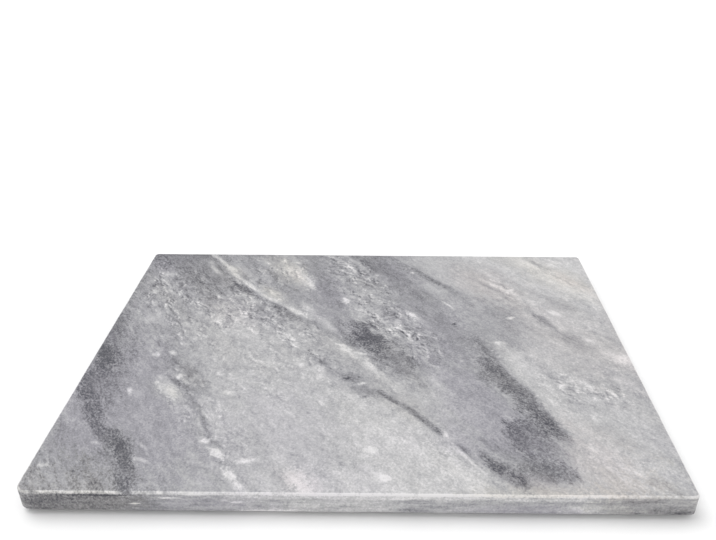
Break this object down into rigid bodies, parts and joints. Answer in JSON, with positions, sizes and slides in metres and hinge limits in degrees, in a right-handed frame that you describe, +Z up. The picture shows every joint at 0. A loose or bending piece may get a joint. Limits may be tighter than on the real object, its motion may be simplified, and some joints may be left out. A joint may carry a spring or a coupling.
{
  "type": "marble chopping board",
  "caption": "Rectangular grey marble slab with eased edges and rounded corners, standing on round rubber feet glued under its corners; a flat, heavy surface for cutting and rolling.",
  "frame": {"origin": "on the worktop, under the middle of the board", "axes": "+Z up out of the working face, +X along the board's length, -Y towards the cook"},
  "size_m": [0.4, 0.3, 0.0185],
  "materials": {
    "marble": "honed to a soft satin, grey with diagonal dark bands, pale veins and white crystal flecks",
    "rubber": "matt moulded black rubber",
    "adhesive": "matt off-white double-sided foam pad"
  },
  "bodies": {
    "root": {"marble_slab": "marble", "rubber_foot_back_right": "rubber", "rubber_foot_back_left": "rubber", "rubber_foot_front_left": "rubber", "rubber_foot_front_right": "rubber", "adhesive_pad_back_right": "adhesive", "adhesive_pad_back_left": "adhesive", "adhesive_pad_front_left": "adhesive", "adhesive_pad_front_right": "adhesive"}
  },
  "joints": []
}
